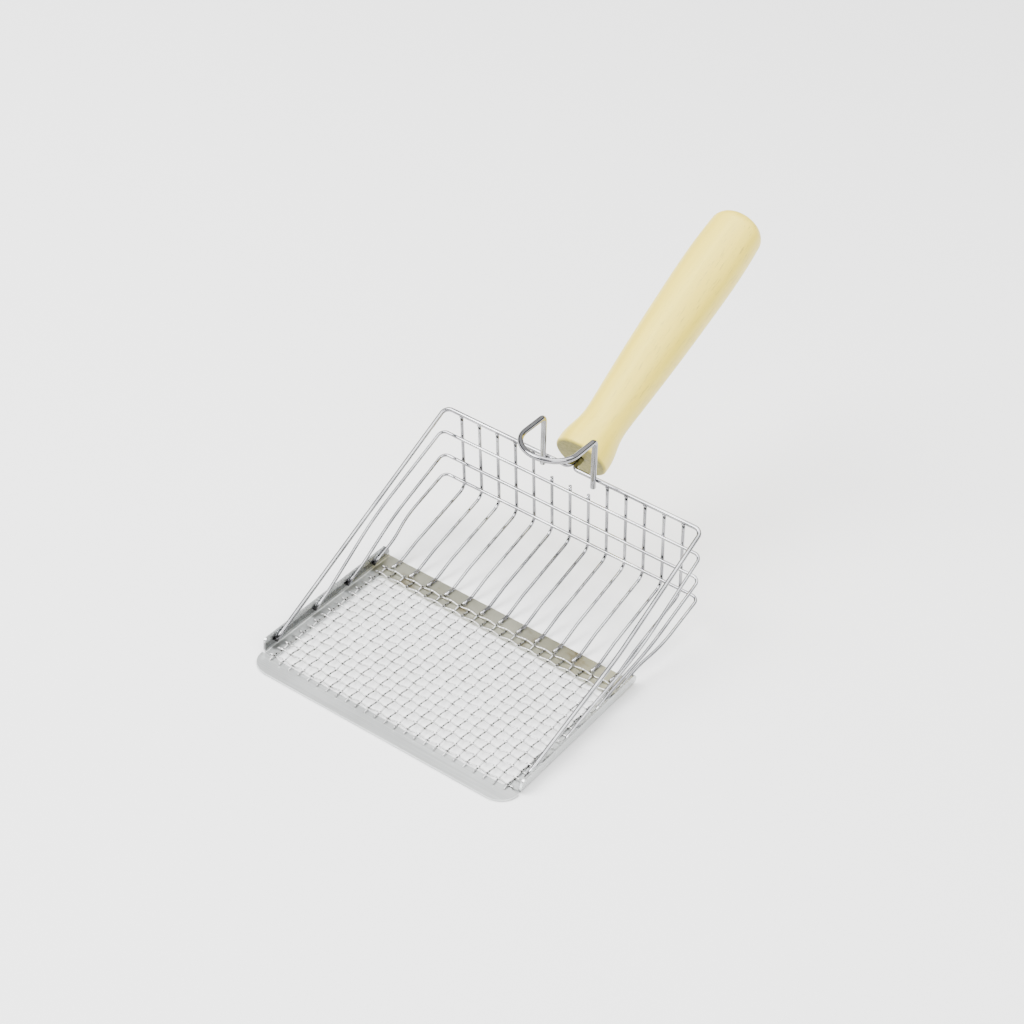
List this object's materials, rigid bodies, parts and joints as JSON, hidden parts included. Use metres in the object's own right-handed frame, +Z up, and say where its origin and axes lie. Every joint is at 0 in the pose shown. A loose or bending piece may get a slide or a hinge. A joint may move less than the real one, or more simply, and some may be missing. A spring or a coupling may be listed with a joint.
{
  "type": "sifting scoop",
  "caption": "Wire-basket sifting scoop with a woven mesh floor in a folded sheet base, an open ribbed rear, a wire hanging hook and a turned wooden handle.",
  "frame": {"origin": "middle of the flat underside of the base sheet, halfway between its front and rear edges", "axes": "+X is the scoop's right seen from behind the handle, +Y runs back from the front lip towards the handle, +Z is up from the base sheet"},
  "size_m": [0.1394, 0.2697, 0.1399],
  "materials": {
    "plated_wire": "bright plated steel wire",
    "mesh_wire": "bright plated crimped mesh",
    "base_sheet": "satin sheet steel",
    "turned_wood": "pale clear-coated hardwood"
  },
  "bodies": {
    "root": {"base_frame": "base_sheet", "mesh_long_wires": "mesh_wire", "mesh_cross_wires": "mesh_wire", "rim_left": "plated_wire", "rim_right": "plated_wire", "hoop_upper": "plated_wire", "hoop_middle": "plated_wire", "hoop_lower": "plated_wire", "hook": "plated_wire", "rib_01": "plated_wire", "rib_02": "plated_wire", "rib_03": "plated_wire", "rib_04": "plated_wire", "rib_05": "plated_wire", "rib_06": "plated_wire", "rib_07": "plated_wire", "rib_08": "plated_wire", "rib_09": "plated_wire", "rib_10": "plated_wire", "rib_11": "plated_wire", "rib_12": "plated_wire", "rib_13": "plated_wire", "handle": "turned_wood"}
  },
  "joints": []
}
